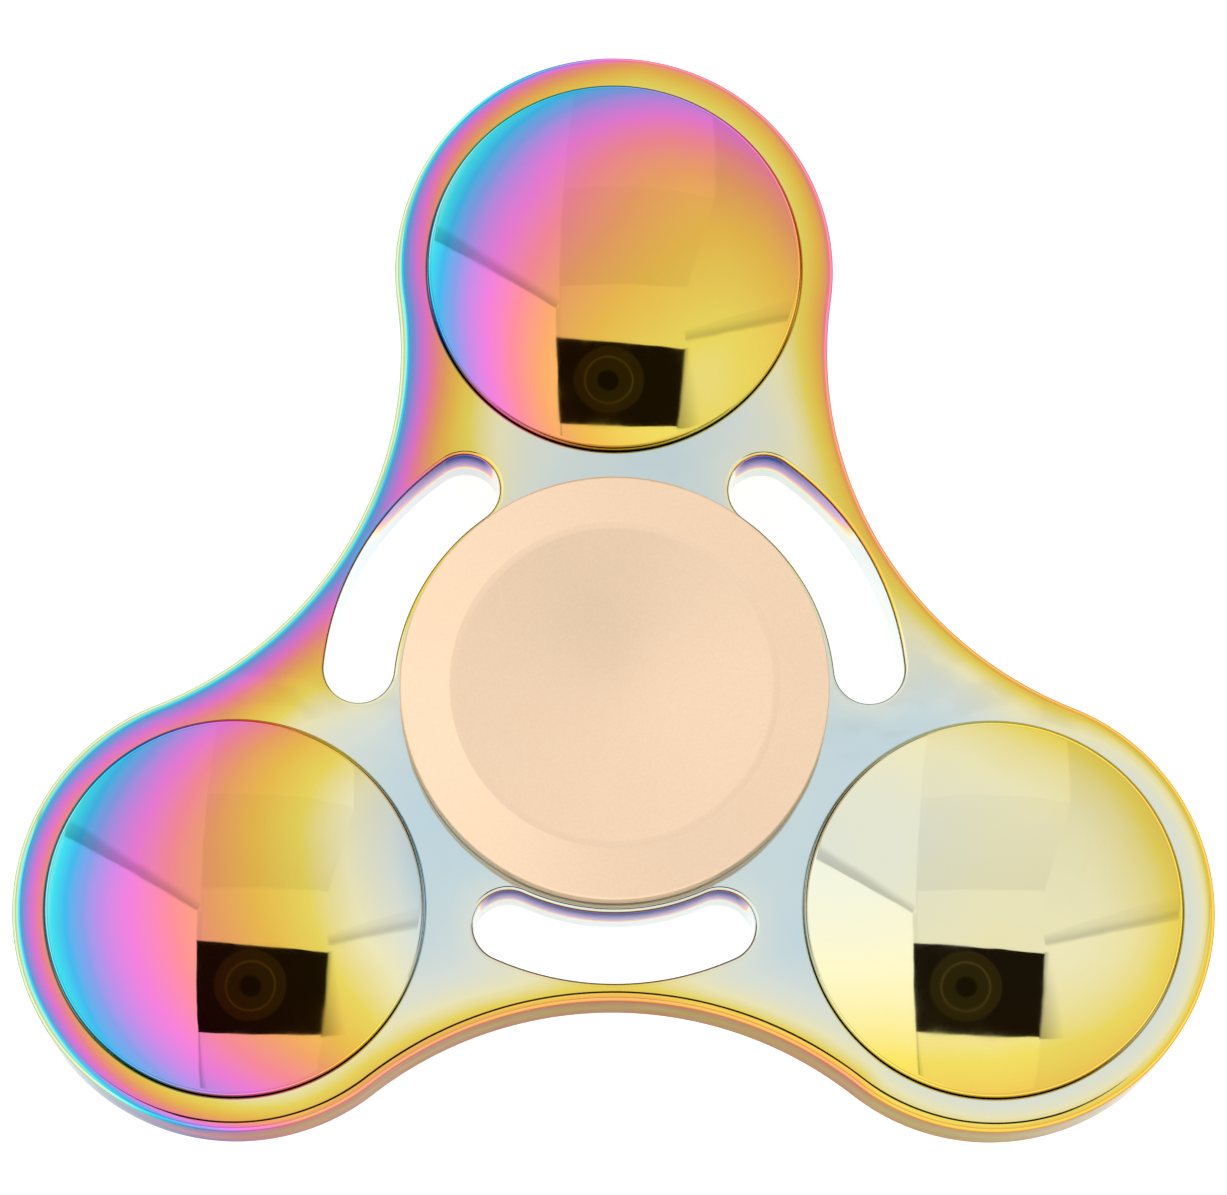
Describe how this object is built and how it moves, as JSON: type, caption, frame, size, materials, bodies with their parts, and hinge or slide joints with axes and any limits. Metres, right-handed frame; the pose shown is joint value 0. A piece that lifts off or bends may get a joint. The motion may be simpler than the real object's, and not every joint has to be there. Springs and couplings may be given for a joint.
{
  "type": "fidget spinner",
  "caption": "Tri-lobed hand spinner: plated rainbow body with mirror domes in each lobe, turning on a shielded miniature ball bearing between dished finger caps",
  "frame": {"origin": "middle of the bearing, on the spin axis and halfway between the body's two faces", "axes": "+Z is the spin axis and points out of the front finger cap; +Y points to lobe 1; +X completes the frame and runs along the body's widest direction"},
  "size_m": [0.0616, 0.0564, 0.011],
  "materials": {
    "plated_body": "polished, rainbow vacuum plating from silver-blue through gold, pink, violet and blue",
    "plated_dome": "mirror, rainbow vacuum plating",
    "steel_screw": "machined",
    "bearing_steel": "ground",
    "cage_brass": "pressed",
    "ball_steel": "polished",
    "anodised_cap": "fine blasted and anodised, rose gold"
  },
  "bodies": {
    "grip": {"front_finger_cap": "anodised_cap", "back_finger_cap": "anodised_cap", "axle_stud": "steel_screw", "bearing_inner_ring": "bearing_steel"},
    "ball_set": {"ball_cage": "cage_brass", "bearing_ball_01": "ball_steel", "bearing_ball_02": "ball_steel", "bearing_ball_03": "ball_steel", "bearing_ball_04": "ball_steel", "bearing_ball_05": "ball_steel", "bearing_ball_06": "ball_steel", "bearing_ball_07": "ball_steel", "bearing_ball_08": "ball_steel", "bearing_ball_09": "ball_steel", "bearing_ball_10": "ball_steel"},
    "rotor": {"spinner_body": "plated_body", "front_weight_dome_1": "plated_dome", "front_weight_dome_2": "plated_dome", "front_weight_dome_3": "plated_dome", "back_weight_dome_1": "plated_dome", "back_weight_dome_2": "plated_dome", "back_weight_dome_3": "plated_dome", "weight_stud_1": "steel_screw", "weight_stud_2": "steel_screw", "weight_stud_3": "steel_screw", "bearing_outer_ring": "bearing_steel", "front_bearing_shield": "bearing_steel", "back_bearing_shield": "bearing_steel", "front_shield_snap_ring": "bearing_steel", "back_shield_snap_ring": "bearing_steel"}
  },
  "joints": [
    {"name": "spin", "type": "hinge", "parent": "grip", "child": "rotor", "pos_m": [0, 0, 0], "axis": [0, 0, 1], "continuous": true},
    {"name": "ball_orbit", "type": "hinge", "parent": "grip", "child": "ball_set", "pos_m": [0, 0, 0], "axis": [0, 0, 1], "continuous": true}
  ],
  "couplings": [
    {"joint": "ball_orbit", "follows": "spin", "ratio": 0.5834}
  ]
}
